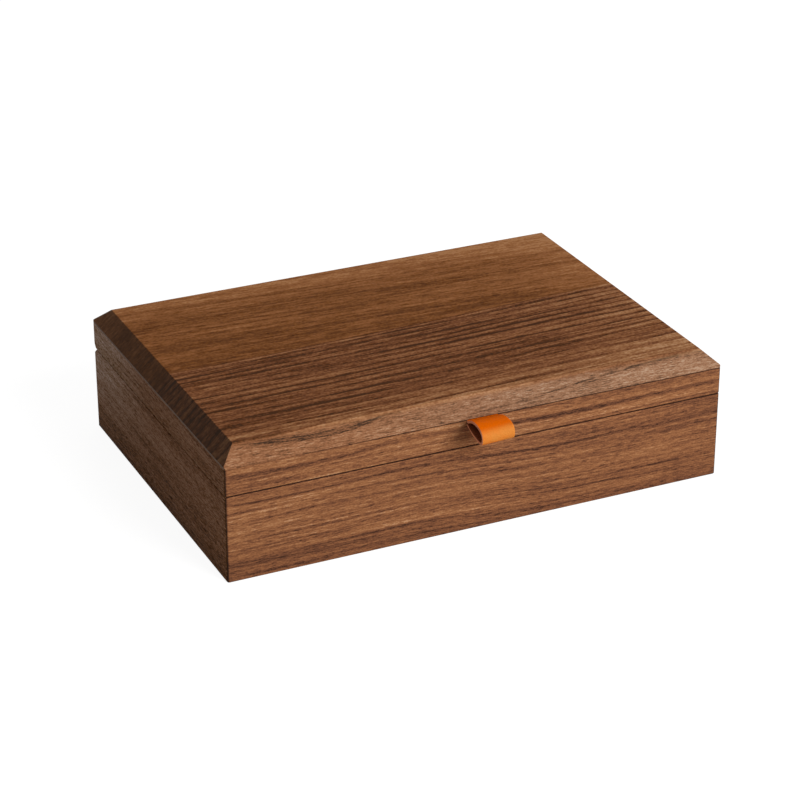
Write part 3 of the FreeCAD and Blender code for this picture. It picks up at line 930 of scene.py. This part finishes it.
@dataclass(frozen=True)
class Leather:
    """Vegetable tanned leather in one colour, with its grain side, flesh side and cut edge."""

    grain_tint: Colour = tint(244, 108, 0)
    # painted highlight on the nose of the loop: its pale tint, and further down the span it covers
    highlight_tint: Colour = tint(218, 140, 62)
    flesh_tint: Colour = tint(116, 50, 22)
    flesh_pale: Colour = tint(158, 82, 46)
    edge_tint: Colour = tint(222, 134, 96)
    edge_pale: Colour = tint(244, 170, 130)
    highlight_from: float = -96.8
    highlight_to: float = -101.4
    highlight_low: float = 48.6
    highlight_high: float = 51.0
    pit_tint: Colour = tint(170, 76, 6)
    pit_share: float = 0.16
    pits_per_mm: float = 1.9
    grain_relief: float = 0.05 * MM
    nap_relief: float = 0.12 * MM

    def grain_side(self) -> bpy.types.Material:
        """Builds the smooth side: a fine pebbled grain, and a painted highlight that makes the nose of the
        loop paler.

        Returns:
            The finished material.
        """
        recipe = Recipe("leather_grain_side")
        place = recipe.millimetres()
        inputs = {"Vector": place, "Scale": self.pits_per_mm}
        cells = recipe.add("ShaderNodeTexVoronoi", inputs, feature="SMOOTH_F1")
        fine = recipe.noise(place, (0.35, 0.35, 0.35), 3.1, 3.0)
        cloud = recipe.noise(place, (6.0, 4.0, 4.0), 5.7, 2.0)
        _, forward, height = recipe.split(place)
        # painted highlight: paler on the front of the nose, where the key light falls
        nose = recipe.level(forward, self.highlight_to, self.highlight_from, 0.9, 0.0)
        nose = recipe.math("MULTIPLY", nose, recipe.level(height, self.highlight_low, self.highlight_high, 0.1, 1.0))
        highlight_share = recipe.math("MULTIPLY", nose, recipe.level(cloud, 0.2, 0.6, 0.7, 1.0))
        colour = recipe.blend(highlight_share, self.grain_tint, self.highlight_tint)
        pits = recipe.level(cells, 0.25, 0.7)
        colour = recipe.blend(recipe.math("MULTIPLY", pits, self.pit_share), colour, self.pit_tint)
        relief = recipe.math("MULTIPLY_ADD", pits, -0.8, fine)
        rough = recipe.level(fine, 0.2, 0.8, 0.36, 0.52)
        normal = recipe.bump(relief, self.grain_relief, 0.7)
        return recipe.finish(colour, rough, normal, Specular_IOR_Level=0.012)

    def napped(self, name: str, dark: Colour, pale: Colour, size: float) -> bpy.types.Material:
        """Builds a bare, fibrous side of the leather.

        Args:
            name: Name of the material.
            dark: Colour in the hollows.
            pale: Colour of the raised fibres.
            size: Length of a fibre in millimetres.

        Returns:
            The finished material.
        """
        recipe = Recipe(name)
        place = recipe.millimetres()
        fibre = recipe.noise(place, (size, size * 0.5, size * 0.5), 8.3, 4.0, 0.65)
        colour = recipe.blend(recipe.level(fibre, 0.3, 0.7), dark, pale)
        rough = recipe.level(fibre, 0.2, 0.8, 0.95, 0.8)
        normal = recipe.bump(fibre, self.nap_relief, 0.8)
        return recipe.finish(colour, rough, normal, Specular_IOR_Level=0.2)

    def materials(self) -> list[bpy.types.Material]:
        """Builds all three kinds of surface.

        Returns:
            The grain side, flesh side and cut edge, in that order.
        """
        flesh = self.napped("leather_flesh_side", self.flesh_tint, self.flesh_pale, 0.6)
        edge = self.napped("leather_cut_edge", self.edge_tint, self.edge_pale, 0.25)
        return [self.grain_side(), flesh, edge]


@dataclass(frozen=True)
class Suede:
    """Short napped cloth that covers the boards and pads inside the box."""

    deep_tint: Colour = tint(152, 129, 103)
    brushed_tint: Colour = tint(182, 158, 130)
    patch_size: Spot = (40.0, 22.0, 26.0)
    patch_weight: float = 0.28
    nap_size: Spot = (0.45, 0.45, 0.45)
    relief: float = 0.12 * MM

    def material(self) -> bpy.types.Material:
        """Builds the cloth: brushed patches over a fine nap.

        Returns:
            The finished material.
        """
        recipe = Recipe("suede_cloth")
        place = recipe.millimetres()
        brushed = recipe.noise(place, self.patch_size, 2.7, 1.0, 0.5)
        nap = recipe.noise(place, self.nap_size, 6.9, 3.0, 0.6)
        share = recipe.level(recipe.math("MULTIPLY_ADD", brushed, self.patch_weight, nap), 0.36, 0.92)
        colour = recipe.blend(share, self.deep_tint, self.brushed_tint)
        rough = recipe.level(brushed, 0.2, 0.8, 0.98, 0.85)
        normal = recipe.bump(nap, self.relief, 0.7)
        sheen = {"Sheen_Weight": 0.35, "Sheen_Roughness": 0.4}
        return recipe.finish(colour, rough, normal, Specular_IOR_Level=0.15, **sheen)


@dataclass(frozen=True)
class Metal:
    """Brushed metal with fine scratches along the width of the box."""

    name: str
    dark: Colour
    bright: Colour
    rough_low: float
    rough_high: float
    brush_size: Spot = (7.0, 0.12, 0.12)
    tarnish_size: Spot = (5.0, 3.0, 3.0)
    relief: float = 0.02 * MM

    def material(self) -> bpy.types.Material:
        """Builds the metal: brush lines, a little tarnish and uneven gloss.

        Returns:
            The finished material.
        """
        recipe = Recipe(self.name)
        place = recipe.millimetres()
        brush = recipe.noise(place, self.brush_size, 1.9, 2.0)
        tarnish = recipe.noise(place, self.tarnish_size, 4.3, 3.0)
        share = recipe.math("MULTIPLY_ADD", brush, 0.5, recipe.math("MULTIPLY", tarnish, 0.5))
        colour = recipe.blend(recipe.level(share, 0.3, 0.65), self.dark, self.bright)
        rough = recipe.level(share, 0.3, 0.7, self.rough_high, self.rough_low)
        normal = recipe.bump(brush, self.relief, 0.5)
        return recipe.finish(colour, rough, normal, Metallic=1.0)


@dataclass
class Hardware:
    """Hinges, their screws and the magnets that hold the lid shut."""

    brass: Metal = Metal("brushed_brass", tint(142, 116, 74), tint(194, 166, 114), 0.3, 0.5)
    nickel: Metal = Metal("plated_nickel", tint(138, 137, 134), tint(184, 183, 180), 0.24, 0.4)

    def dress(self) -> None:
        """Gives the metal nodes their metal."""
        sides = ("left", "right")
        parts = ("base_leaf", "lid_leaf", "pin")
        hinges = [f"{side}_hinge_{part}" for side in sides for part in parts]
        dress_nodes(self.brass.material(), hinges + ["base_hinge_screws", "lid_hinge_screws"])
        dress_nodes(self.nickel.material(), ["base_magnets", "lid_magnets"])


def smooth_faces(bm: bmesh.types.BMesh, sharp: float = math.radians(40)) -> None:
    """Shades a mesh smooth, apart from its sharp edges.

    Args:
        bm: The mesh.
        sharp: Angle from which an edge counts as sharp, in radians.
    """
    bm.normal_update()
    for face in bm.faces:
        face.smooth = True
    for edge in bm.edges:
        edge.smooth = edge.calc_face_angle(0.0) < sharp


def place_piece(
    name: str, bm: bmesh.types.BMesh, materials: list[bpy.types.Material], body: Body, slot: str, *nodes: str
) -> bpy.types.Object:
    """Makes a finished piece of a mesh.

    Args:
        name: Name of the piece.
        bm: The mesh, which is freed.
        materials: Materials by the number that the faces give.
        body: Half of the box that the piece moves with.
        slot: Name of a material slot; not used.
        *nodes: Nodes of the frame that the piece stands for.

    Returns:
        The piece, in the scene.
    """
    smooth_faces(bm)
    mesh = bpy.data.meshes.new(name)
    bm.to_mesh(mesh)
    bm.free()
    for material in materials:
        mesh.materials.append(material)
    piece = bpy.data.objects.new(name, mesh)
    bpy.context.scene.collection.objects.link(piece)
    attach(piece, body.value)
    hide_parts(*nodes)
    log.info("%s has %d faces", name, len(mesh.polygons))
    return piece


def verts_of(made: dict, key: str = "geom") -> list[bmesh.types.BMVert]:
    """Gives the vertices among what an operator returned."""
    return [item for item in made[key] if isinstance(item, bmesh.types.BMVert)]


@dataclass
class PullTab:
    """Leather strip folded to a loop, with both ends glued into the slot of the front rail."""

    leather: Leather = Leather()
    node: str = "pull_tab"
    thickness: float = 1.3 * MM
    layer_gap: float = 0.2 * MM
    tail: float = 6.5 * MM
    flare: float = math.radians(30)
    taper: float = math.radians(15)
    root_radius: float = 2.35 * MM
    rim_round: float = 0.32 * MM
    droop: float = 0.5 * MM
    lift: float = 1.2 * MM
    tuck: float = 1.0 * MM
    sway: float = 1.2 * MM
    right_slack: float = 0.4 * MM
    left_slack: float = 1.2 * MM
    width_cuts: int = 23
    root_steps: int = 6
    swell_steps: int = 20
    nose_steps: int = 26

    def __post_init__(self) -> None:
        """Takes the loop's place and reach from the frame."""
        low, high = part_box(self.node)
        self.left, self.width = low.x, high.x - low.x
        self.face_y = high.y - self.tail
        self.reach = self.face_y - low.y
        self.middle = (low.z + high.z) / 2

    def point(self, out: float, up: float) -> Vector:
        """Gives a point of the strip's left edge, by its distance from the rail and from the middle."""
        return Vector((self.left, self.face_y - out, self.middle + up))

    def fold(self, bm: bmesh.types.BMesh) -> None:
        """Draws the strip's outer side as one line of edges, from the upper tail round to the lower one.

        The upper half leaves the slot in a small arc that turns up by flare, swells in a wide one that ends
        tapering down, and meets the lower half, its mirror image, in the arc of the nose.

        Args:
            bm: The mesh to draw in.
        """
        root = self.thickness + self.layer_gap / 2
        root_out = self.root_radius * math.sin(self.flare)
        root_up = root + self.root_radius * (1 - math.cos(self.flare))
        shrink = 1 - math.cos(self.flare) / math.cos(self.taper)
        lean = 1 - math.sin(self.taper)
        spread = math.sin(self.flare) + math.sin(self.taper) + shrink * lean
        swell = (self.reach - root_out - root_up * lean / math.cos(self.taper)) / spread
        nose = swell * shrink + root_up / math.cos(self.taper)
        crest = self.point(root_out + swell * math.sin(self.flare), root_up - swell * math.cos(self.flare))
        trough = Vector((crest.x, crest.y, 2 * self.middle - crest.z))
        end = bm.verts.new(self.point(-self.tail, root))
        end = self.extend(bm, end, self.point(0, root))
        turns = (
            (self.point(0, root + self.root_radius), self.flare, self.root_steps),
            (crest, -self.flare - self.taper, self.swell_steps),
            (self.point(self.reach - nose, 0), 2 * self.taper - math.pi, self.nose_steps),
            (trough, -self.flare - self.taper, self.swell_steps),
            (self.point(0, -root - self.root_radius), self.flare, self.root_steps),
        )
        for centre, angle, steps in turns:
            made = bmesh.ops.spin(bm, geom=[end], cent=centre, axis=(-1, 0, 0), angle=angle, steps=steps)
            end = verts_of(made, "geom_last")[0]
        self.extend(bm, end, self.point(-self.tail, -root))

    def extend(self, bm: bmesh.types.BMesh, end: bmesh.types.BMVert, goal: Vector) -> bmesh.types.BMVert:
        """Draws the line on, straight to a point.

        Args:
            bm: The mesh.
            end: End of the line so far.
            goal: The point.

        Returns:
            The new end.
        """
        new = bmesh.ops.extrude_vert_indiv(bm, verts=[end])["verts"][0]
        bmesh.ops.translate(bm, verts=[new], vec=goal - new.co)
        return new

    def build(self) -> None:
        """Models the loop and dresses its three kinds of surface."""
        bm = bmesh.new()
        self.fold(bm)
        wide = bmesh.ops.extrude_edge_only(bm, edges=bm.edges[:])
        bmesh.ops.translate(bm, verts=verts_of(wide), vec=(self.width, 0, 0))
        across = [edge for edge in bm.edges if abs(edge.verts[0].co.x - edge.verts[1].co.x) > self.width / 2]
        bmesh.ops.subdivide_edges(bm, edges=across, cuts=self.width_cuts, use_grid_fill=True)
        bmesh.ops.recalc_face_normals(bm, faces=bm.faces[:])
        bm.normal_update()
        highest = max(bm.faces, key=lambda face: face.calc_center_median().z)
        if highest.normal.z < 0:
            bmesh.ops.reverse_faces(bm, faces=bm.faces[:])
            bm.normal_update()
        outer = set(bm.faces)
        shell = bmesh.ops.solidify(bm, geom=bm.faces[:], thickness=self.thickness)
        inner = {item for item in shell["geom"] if isinstance(item, bmesh.types.BMFace)}
        for face in bm.faces:
            face.material_index = 0 if face in outer else 1 if face in inner else 2
        rims = [edge for edge in bm.edges if len({face.material_index for face in edge.link_faces}) > 1]
        bmesh.ops.bevel(
            bm, geom=rims, offset=self.rim_round, segments=3, profile=0.5, affect="EDGES", material=-1
        )
        self.hang(bm)
        place_piece("leather_pull_tab", bm, self.leather.materials(), Body.LID, "tan_leather", self.node)

    def hang(self, bm: bmesh.types.BMesh) -> None:
        """Lets the loop droop a little at its nose, tucks its lower half up and draws its left side in.

        Args:
            bm: The straight loop.
        """
        for vert in bm.verts:
            out = max(0.0, self.face_y - vert.co.y) / self.reach
            aside = (vert.co.x - self.left) / self.width
            below = min(1.0, max(0.0, self.middle - vert.co.z) / (2 * self.thickness))
            vert.co.x -= out * self.sway
            vert.co.z += 4 * out * max(0.0, 1 - out) * below * self.tuck
            vert.co.z += out * out * (self.lift * aside - self.droop)
            vert.co.y += out * (self.left_slack + aside * (self.right_slack - self.left_slack))


@dataclass
class Upholstery:
    """Swells closed forms into stuffed pads with a short cloth simulation."""

    enlarge: float = 10.0
    pressure: float = 4.0
    frames: int = 20

    def swell(self, piece: bpy.types.Object, held: list[int], cap: float) -> None:
        """Blows a pad up from inside and keeps the result.

        Args:
            piece: The pad, whose mesh is changed.
            held: Numbers of the vertices that are glued down.
            cap: Furthest that a vertex may move, in metres.
        """
        rest = [vert.co.copy() for vert in piece.data.vertices]
        piece.data.transform(Matrix.Scale(self.enlarge, 4))
        glued = piece.vertex_groups.new(name="glued")
        glued.add(held, 1.0, "REPLACE")
        cloth = piece.modifiers.new("swelling", "CLOTH")
        cloth.settings.vertex_group_mass = "glued"
        cloth.settings.use_pressure = True
        cloth.settings.uniform_pressure_force = self.pressure
        cloth.settings.effector_weights.gravity = 0.0
        cloth.collision_settings.use_collision = False
        cloth.point_cache.frame_start = 1
        cloth.point_cache.frame_end = self.frames
        scene = bpy.context.scene
        for number in range(1, self.frames + 1):
            scene.frame_set(number)
        swollen = piece.evaluated_get(bpy.context.evaluated_depsgraph_get()).data
        moved = [vert.co / self.enlarge for vert in swollen.vertices]
        piece.modifiers.remove(cloth)
        piece.vertex_groups.remove(glued)
        for vert, start, goal in zip(piece.data.vertices, rest, moved):
            step = goal - start
            vert.co = start + step * min(1.0, cap / max(step.length, 1e-9))
        piece.data.update()
        scene.frame_set(1)


@dataclass
class Interior:
    """Covered boards on floor and walls, dividers, ring rolls and the pad under the lid."""

    suede: Suede = Suede()
    upholstery: Upholstery = field(default_factory=Upholstery)
    board_round: float = 0.6 * MM
    divider_round: float = 1.6 * MM
    roll_count: int = 6
    roll_start: float = 0.8 * MM
    roll_cut: float = 1.3 * MM
    roll_glued: float = 1.5 * MM
    roll_steps: int = 24
    pad_start: float = 1.0 * MM
    pad_margin: float = 0.8 * MM
    pad_cuts: int = 50
    edge_share: float = 0.2
    touch: float = 0.01 * MM
    slot: str = "suede"

    def build(self) -> None:
        """Models and dresses everything that is covered in cloth."""
        cloth = self.suede.material()
        for side in ("floor", "front", "back", "left", "right"):
            self.board(f"{side}_lining", cloth, self.board_round)
        places = ("centre", "left_long", "right_long", "left_side", "right_side")
        for place in places:
            self.board(f"{place}_divider", cloth, self.divider_round)
        self.rolls(cloth)
        self.lid_pad(cloth)

    def block(self, node: str, inset: Vector = Vector((0, 0, 0))) -> bmesh.types.BMesh:
        """Starts a mesh as the block that a node fills.

        Args:
            node: Name of the node.
            inset: How far each side is drawn in.

        Returns:
            The mesh.
        """
        low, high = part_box(node)
        low, high = low + inset, high - inset
        bm = bmesh.new()
        bmesh.ops.create_cube(bm, size=1.0)
        bmesh.ops.scale(bm, verts=bm.verts[:], vec=high - low)
        bmesh.ops.translate(bm, verts=bm.verts[:], vec=(low + high) / 2)
        return bm

    def board(self, node: str, cloth: bpy.types.Material, top_round: float) -> None:
        """Models a board wrapped in cloth, with its long top edges well rounded and the others softened.

        Args:
            node: The node that the board stands for.
            cloth: Material of the cover.
            top_round: Radius of the long top edges, in metres.
        """
        bm = self.block(node)
        low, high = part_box(node)
        run = max(high - low)
        level = [edge for edge in bm.edges if min(vert.co.z for vert in edge.verts) > high.z - self.touch]
        crest = [edge for edge in level if edge.calc_length() > 0.99 * run]
        others = [edge for edge in bm.edges if edge not in crest]
        thin = self.edge_share * min(high - low)
        crest_round = min(top_round, 2 * thin)
        bmesh.ops.bevel(
            bm, geom=crest, offset=crest_round, segments=6, profile=0.5, affect="EDGES", material=-1
        )
        others = [edge for edge in others if edge.is_valid]
        bmesh.ops.bevel(bm, geom=others, offset=thin, segments=3, profile=0.5, affect="EDGES", material=-1)
        piece = place_piece(f"covered_{node}", bm, [cloth], Body.BASE, self.slot, node)
        even = piece.modifiers.new("even_shading", "WEIGHTED_NORMAL")
        even.keep_sharp = True

    def rolls(self, cloth: bpy.types.Material) -> None:
        """Models one ring roll, swells it and sets a copy of it in each place.

        Args:
            cloth: Material of the cover.
        """
        first = self.roll("ring_roll_1", cloth)
        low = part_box("ring_roll_1")[0]
        for number in range(2, self.roll_count + 1):
            node = f"ring_roll_{number}"
            bm = bmesh.new()
            bm.from_mesh(first.data)
            bmesh.ops.translate(bm, verts=bm.verts[:], vec=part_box(node)[0] - low)
            piece = place_piece(f"suede_{node}", bm, [cloth], Body.BASE, self.slot, node)

    def roll(self, node: str, cloth: bpy.types.Material) -> bpy.types.Object:
        """Models a round-topped roll that stands on the floor.

        Args:
            node: The node that the roll stands for.
            cloth: Material of the cover.

        Returns:
            The swollen roll.
        """
        low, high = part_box(node)
        start = self.roll_start
        radius = (high.y - low.y) / 2 - start
        centre = Vector((low.x + start, (low.y + high.y) / 2, high.z - start - radius))
        bm = bmesh.new()
        foot = bm.verts.new((centre.x, centre.y - radius, low.z))
        shoulder = bmesh.ops.extrude_vert_indiv(bm, verts=[foot])["verts"]
        bmesh.ops.translate(bm, verts=shoulder, vec=(0, 0, centre.z - low.z))
        steps = self.roll_steps
        made = bmesh.ops.spin(bm, geom=shoulder, cent=centre, axis=(-1, 0, 0), angle=math.pi, steps=steps)
        far = bmesh.ops.extrude_vert_indiv(bm, verts=verts_of(made, "geom_last"))["verts"]
        bmesh.ops.translate(bm, verts=far, vec=(0, 0, low.z - centre.z))
        end = bmesh.ops.contextual_create(bm, geom=bm.verts[:])["faces"]
        body = bmesh.ops.extrude_face_region(bm, geom=end)
        bmesh.ops.translate(bm, verts=verts_of(body), vec=(high.x - low.x - 2 * start, 0, 0))
        bmesh.ops.recalc_face_normals(bm, faces=bm.faces[:])
        piece = place_piece(f"suede_{node}", bm, [cloth], Body.BASE, self.slot, node)
        self.recut(piece, self.roll_cut)
        glued = [v.index for v in piece.data.vertices if v.co.z < low.z + self.roll_glued]
        self.upholstery.swell(piece, glued, self.roll_start)
        return piece

    def recut(self, piece: bpy.types.Object, size: float) -> None:
        """Divides a closed form into even faces.

        Args:
            piece: The form, whose mesh is replaced.
            size: Length of a face, in metres.
        """
        cutter = piece.modifiers.new("even_faces", "REMESH")
        cutter.mode = "VOXEL"
        cutter.voxel_size = size
        cutter.use_smooth_shade = True
        graph = bpy.context.evaluated_depsgraph_get()
        mesh = bpy.data.meshes.new_from_object(piece.evaluated_get(graph))
        piece.modifiers.remove(cutter)
        old = piece.data
        piece.data = mesh
        mesh.name = piece.name
        bpy.data.meshes.remove(old)

    def lid_pad(self, cloth: bpy.types.Material) -> None:
        """Models the thin pad that is glued under the top board, and swells its lower side.

        Args:
            cloth: Material of the cover.
        """
        node = "lid_lining"
        low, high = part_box(node)
        bm = self.block(node, Vector((self.pad_margin, self.pad_margin, 0)))
        lower = [vert for vert in bm.verts if vert.co.z < (low.z + high.z) / 2]
        bmesh.ops.translate(bm, verts=lower, vec=(0, 0, self.pad_start))
        flat = [edge for edge in bm.edges if edge.calc_length() > 10 * (high.z - low.z)]
        bmesh.ops.subdivide_edges(bm, edges=flat, cuts=self.pad_cuts, use_grid_fill=True)
        piece = place_piece("suede_lid_pad", bm, [cloth], Body.LID, self.slot, node)
        glued = [v.index for v in piece.data.vertices if v.co.z > high.z - self.touch]
        self.upholstery.swell(piece, glued, self.pad_start)


@dataclass
class Studio:
    """Camera, soft lamps, white surroundings and the floor. Lengths are in metres, angles in degrees."""

    target: Vector = field(default_factory=lambda: Vector((0, 0, 0.030)))
    azimuth: float = -25.0301
    elevation: float = 25.8006
    roll: float = 0.0412
    distance: float = 1.205658
    aside: float = -0.000463
    upward: float = -0.004177
    focal_pixels: float = 2606.57
    image_pixels: float = 800.0
    sensor: float = 36.0
    key_from: Vector = field(default_factory=lambda: Vector((0.40, -1.0, 0.57)))
    key_level: float = 0.90
    back_from: Vector = field(default_factory=lambda: Vector((0.25, 1.0, 0.08)))
    back_level: float = 0.26
    lamp_distance: float = 1.6
    lamp_size: float = 0.9
    fill_level: float = 0.25
    floor_size: float = 12.0
    floor_drop: float = 0.05 * MM
    floor_bounce: Colour = (0.5, 0.5, 0.5, 1.0)
    floor_faint: Colour = (0.26, 0.26, 0.26, 1.0)
    floor_glow: float = 0.91

    def set_camera(self) -> None:
        """Puts the camera where the photograph was taken from."""
        azimuth, elevation, roll = (math.radians(a) for a in (self.azimuth, self.elevation, self.roll))
        level = math.cos(elevation)
        back = Vector((math.sin(azimuth) * level, -math.cos(azimuth) * level, math.sin(elevation)))
        right = Vector((math.cos(azimuth), math.sin(azimuth), 0))
        up = back.cross(right)
        turned = Matrix.Rotation(roll, 3, back)
        right, up = turned @ right, turned @ up
        lens = bpy.data.cameras.new("photo_camera")
        lens.sensor_width = self.sensor
        lens.lens = self.sensor * self.focal_pixels / self.image_pixels
        camera = bpy.data.objects.new("photo_camera", lens)
        bpy.context.scene.collection.objects.link(camera)
        camera.matrix_world = Matrix((right, up, back)).transposed().to_4x4()
        camera.location = self.target + back * self.distance + right * self.aside + up * self.upward
        bpy.context.scene.camera = camera

    def hang_lamp(self, name: str, side: Vector, level: float, mirrored: bool) -> None:
        """Hangs a large soft lamp on one side of the box.

        Args:
            name: Name of the lamp.
            side: Direction from the box to the lamp.
            level: Light on a face that is turned to the lamp, where 1 shows its colour as written.
            mirrored: Whether glossy faces show the lamp.
        """
        lamp = bpy.data.lights.new(name, "AREA")
        lamp.shape = "SQUARE"
        lamp.size = self.lamp_size
        lamp.energy = level * (math.pi * self.lamp_distance) ** 2
        softbox = bpy.data.objects.new(name, lamp)
        softbox.visible_glossy = mirrored
        bpy.context.scene.collection.objects.link(softbox)
        toward = side.normalized()
        softbox.location = self.target + toward * self.lamp_distance
        softbox.rotation_euler = toward.to_track_quat("Z", "Y").to_euler()

    def whiten_surroundings(self) -> None:
        """Makes the surroundings white to the eye and a dim even fill to the box."""
        world = bpy.data.worlds.new("studio")
        world.use_nodes = True
        nodes = Nodes(world.node_tree)
        background = nodes.tree.nodes["Background"]
        nodes.feed(background.inputs["Color"], (1, 1, 1, 1))
        strength = nodes.level(self.seen_directly(nodes), 0.0, 1.0, self.fill_level, 1.0)
        nodes.feed(background.inputs["Strength"], strength)
        bpy.context.scene.world = world

    def seen_directly(self, nodes: Nodes) -> Socket:
        """Tells rays from the eye, a mirror or glass from light that bounces.

        Args:
            nodes: The node tree that needs to know.

        Returns:
            1 for rays from the eye, a mirror or glass, and 0 for others.
        """
        found = nodes.add("ShaderNodeLightPath", {}, "Is Camera Ray")
        for name in ("Is Glossy Ray", "Is Transmission Ray"):
            found = nodes.math("MAXIMUM", found, nodes.add("ShaderNodeLightPath", {}, name))
        return found

    def lay_floor(self) -> None:
        """Lays a white floor that keeps the shadow of the box."""
        bm = bmesh.new()
        bmesh.ops.create_grid(bm, x_segments=1, y_segments=1, size=self.floor_size / 2)
        bmesh.ops.translate(bm, verts=bm.verts[:], vec=(0, 0, -self.floor_drop))
        mesh = bpy.data.meshes.new("floor")
        bm.to_mesh(mesh)
        bm.free()
        floor = bpy.data.objects.new("floor", mesh)
        bpy.context.scene.collection.objects.link(floor)
        floor.data.materials.append(self.floor_material())

    def floor_material(self) -> bpy.types.Material:
        """Gives a floor that is white to the eye, with the shadow left in it, and bounces a little light.

        From below it is clear, so that the underside of the box can be looked at.

        Returns:
            The finished material.
        """
        recipe = Recipe("studio_floor")
        recipe.tree.nodes.remove(recipe.shader)
        bounce = recipe.add("ShaderNodeBsdfDiffuse", {"Color": self.floor_bounce})
        faint = recipe.add("ShaderNodeBsdfDiffuse", {"Color": self.floor_faint})
        glow = recipe.add("ShaderNodeEmission", {"Strength": self.floor_glow})
        lit = recipe.add("ShaderNodeAddShader", {0: faint, 1: glow})
        above = recipe.add("ShaderNodeMixShader", {0: self.seen_directly(recipe), 1: bounce, 2: lit})
        below = recipe.add("ShaderNodeNewGeometry", {}, "Backfacing")
        clear = recipe.add("ShaderNodeBsdfTransparent", {})
        surface = recipe.add("ShaderNodeMixShader", {0: below, 1: above, 2: clear})
        recipe.feed(recipe.tree.nodes["Material Output"].inputs["Surface"], surface)
        return recipe.material

    def build(self) -> None:
        """Sets up everything that isn't the box."""
        bpy.context.scene.view_settings.view_transform = "Standard"
        self.set_camera()
        self.hang_lamp("key_softbox", self.key_from, self.key_level, True)
        self.hang_lamp("back_softbox", self.back_from, self.back_level, False)
        self.whiten_surroundings()
        self.lay_floor()
        log.info("studio is set")


def main() -> None:
    """Builds the looks of the box, one sub-assembly after the other."""
    logging.basicConfig(level=logging.INFO, format="%(name)s: %(message)s")
    Studio().build()
    Case().dress()
    Hardware().dress()
    PullTab().build()
    Interior().build()


if __name__ == "__main__":
    main()
